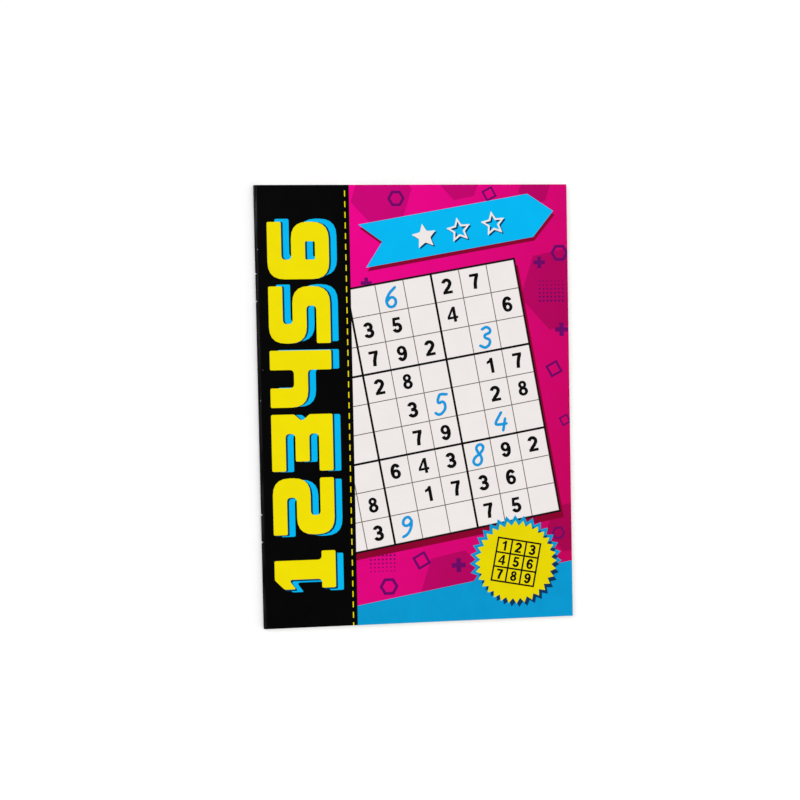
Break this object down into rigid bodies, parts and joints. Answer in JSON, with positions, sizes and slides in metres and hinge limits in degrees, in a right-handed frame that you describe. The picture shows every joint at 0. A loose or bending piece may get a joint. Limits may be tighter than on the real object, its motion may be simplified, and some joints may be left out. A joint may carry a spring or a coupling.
{
  "type": "puzzle booklet",
  "caption": "Closed stapled softcover booklet of number puzzles; its cover opens and each leaf turns about the stapled spine.",
  "frame": {"origin": "under the middle of the closed booklet, on the outer face of the back cover", "axes": "+X from the spine to the fore edge, +Y from tail to head, +Z from the back cover to the front cover"},
  "size_m": [0.1506, 0.21, 0.0028],
  "materials": {
    "cover_card": "coated card, printed in magenta, black, cyan and yellow, satin lacquer",
    "page_paper": "uncoated off-white paper",
    "staple_wire": "galvanised steel wire"
  },
  "bodies": {
    "back_cover": {"back_cover": "cover_card"},
    "leaf_24": {"leaf_24": "page_paper"},
    "leaf_23": {"leaf_23": "page_paper"},
    "leaf_22": {"leaf_22": "page_paper"},
    "leaf_21": {"leaf_21": "page_paper"},
    "leaf_20": {"leaf_20": "page_paper"},
    "leaf_19": {"leaf_19": "page_paper"},
    "leaf_18": {"leaf_18": "page_paper"},
    "leaf_17": {"leaf_17": "page_paper"},
    "leaf_16": {"leaf_16": "page_paper"},
    "leaf_15": {"leaf_15": "page_paper"},
    "leaf_14": {"leaf_14": "page_paper"},
    "leaf_13": {"leaf_13": "page_paper", "upper_staple": "staple_wire", "lower_staple": "staple_wire"},
    "leaf_12": {"leaf_12": "page_paper"},
    "leaf_11": {"leaf_11": "page_paper"},
    "leaf_10": {"leaf_10": "page_paper"},
    "leaf_09": {"leaf_09": "page_paper"},
    "leaf_08": {"leaf_08": "page_paper"},
    "leaf_07": {"leaf_07": "page_paper"},
    "leaf_06": {"leaf_06": "page_paper"},
    "leaf_05": {"leaf_05": "page_paper"},
    "leaf_04": {"leaf_04": "page_paper"},
    "leaf_03": {"leaf_03": "page_paper"},
    "leaf_02": {"leaf_02": "page_paper"},
    "leaf_01": {"leaf_01": "page_paper"},
    "front_cover": {"front_cover": "cover_card"}
  },
  "joints": [
    {"name": "leaf_24_turn", "type": "hinge", "parent": "back_cover", "child": "leaf_24", "pos_m": [-0.07502, 0, 0.00141], "axis": [0, -1, 0], "range_deg": [0, 180]},
    {"name": "leaf_23_turn", "type": "hinge", "parent": "leaf_24", "child": "leaf_23", "pos_m": [-0.07502, 0, 0.00141], "axis": [0, -1, 0], "range_deg": [0, 180]},
    {"name": "leaf_22_turn", "type": "hinge", "parent": "leaf_23", "child": "leaf_22", "pos_m": [-0.07502, 0, 0.00141], "axis": [0, -1, 0], "range_deg": [0, 180]},
    {"name": "leaf_21_turn", "type": "hinge", "parent": "leaf_22", "child": "leaf_21", "pos_m": [-0.07502, 0, 0.00141], "axis": [0, -1, 0], "range_deg": [0, 180]},
    {"name": "leaf_20_turn", "type": "hinge", "parent": "leaf_21", "child": "leaf_20", "pos_m": [-0.07502, 0, 0.00141], "axis": [0, -1, 0], "range_deg": [0, 180]},
    {"name": "leaf_19_turn", "type": "hinge", "parent": "leaf_20", "child": "leaf_19", "pos_m": [-0.07502, 0, 0.00141], "axis": [0, -1, 0], "range_deg": [0, 180]},
    {"name": "leaf_18_turn", "type": "hinge", "parent": "leaf_19", "child": "leaf_18", "pos_m": [-0.07502, 0, 0.00141], "axis": [0, -1, 0], "range_deg": [0, 180]},
    {"name": "leaf_17_turn", "type": "hinge", "parent": "leaf_18", "child": "leaf_17", "pos_m": [-0.07502, 0, 0.00141], "axis": [0, -1, 0], "range_deg": [0, 180]},
    {"name": "leaf_16_turn", "type": "hinge", "parent": "leaf_17", "child": "leaf_16", "pos_m": [-0.07502, 0, 0.00141], "axis": [0, -1, 0], "range_deg": [0, 180]},
    {"name": "leaf_15_turn", "type": "hinge", "parent": "leaf_16", "child": "leaf_15", "pos_m": [-0.07502, 0, 0.00141], "axis": [0, -1, 0], "range_deg": [0, 180]},
    {"name": "leaf_14_turn", "type": "hinge", "parent": "leaf_15", "child": "leaf_14", "pos_m": [-0.07502, 0, 0.00141], "axis": [0, -1, 0], "range_deg": [0, 180]},
    {"name": "leaf_13_turn", "type": "hinge", "parent": "leaf_14", "child": "leaf_13", "pos_m": [-0.07502, 0, 0.00141], "axis": [0, -1, 0], "range_deg": [0, 180]},
    {"name": "leaf_12_turn", "type": "hinge", "parent": "leaf_13", "child": "leaf_12", "pos_m": [-0.07502, 0, 0.00141], "axis": [0, -1, 0], "range_deg": [0, 180]},
    {"name": "leaf_11_turn", "type": "hinge", "parent": "leaf_12", "child": "leaf_11", "pos_m": [-0.07502, 0, 0.00141], "axis": [0, -1, 0], "range_deg": [0, 180]},
    {"name": "leaf_10_turn", "type": "hinge", "parent": "leaf_11", "child": "leaf_10", "pos_m": [-0.07502, 0, 0.00141], "axis": [0, -1, 0], "range_deg": [0, 180]},
    {"name": "leaf_09_turn", "type": "hinge", "parent": "leaf_10", "child": "leaf_09", "pos_m": [-0.07502, 0, 0.00141], "axis": [0, -1, 0], "range_deg": [0, 180]},
    {"name": "leaf_08_turn", "type": "hinge", "parent": "leaf_09", "child": "leaf_08", "pos_m": [-0.07502, 0, 0.00141], "axis": [0, -1, 0], "range_deg": [0, 180]},
    {"name": "leaf_07_turn", "type": "hinge", "parent": "leaf_08", "child": "leaf_07", "pos_m": [-0.07502, 0, 0.00141], "axis": [0, -1, 0], "range_deg": [0, 180]},
    {"name": "leaf_06_turn", "type": "hinge", "parent": "leaf_07", "child": "leaf_06", "pos_m": [-0.07502, 0, 0.00141], "axis": [0, -1, 0], "range_deg": [0, 180]},
    {"name": "leaf_05_turn", "type": "hinge", "parent": "leaf_06", "child": "leaf_05", "pos_m": [-0.07502, 0, 0.00141], "axis": [0, -1, 0], "range_deg": [0, 180]},
    {"name": "leaf_04_turn", "type": "hinge", "parent": "leaf_05", "child": "leaf_04", "pos_m": [-0.07502, 0, 0.00141], "axis": [0, -1, 0], "range_deg": [0, 180]},
    {"name": "leaf_03_turn", "type": "hinge", "parent": "leaf_04", "child": "leaf_03", "pos_m": [-0.07502, 0, 0.00141], "axis": [0, -1, 0], "range_deg": [0, 180]},
    {"name": "leaf_02_turn", "type": "hinge", "parent": "leaf_03", "child": "leaf_02", "pos_m": [-0.07502, 0, 0.00141], "axis": [0, -1, 0], "range_deg": [0, 180]},
    {"name": "leaf_01_turn", "type": "hinge", "parent": "leaf_02", "child": "leaf_01", "pos_m": [-0.07502, 0, 0.00141], "axis": [0, -1, 0], "range_deg": [0, 180]},
    {"name": "front_cover_open", "type": "hinge", "parent": "leaf_01", "child": "front_cover", "pos_m": [-0.07502, 0, 0.00141], "axis": [0, -1, 0], "range_deg": [0, 180]}
  ]
}
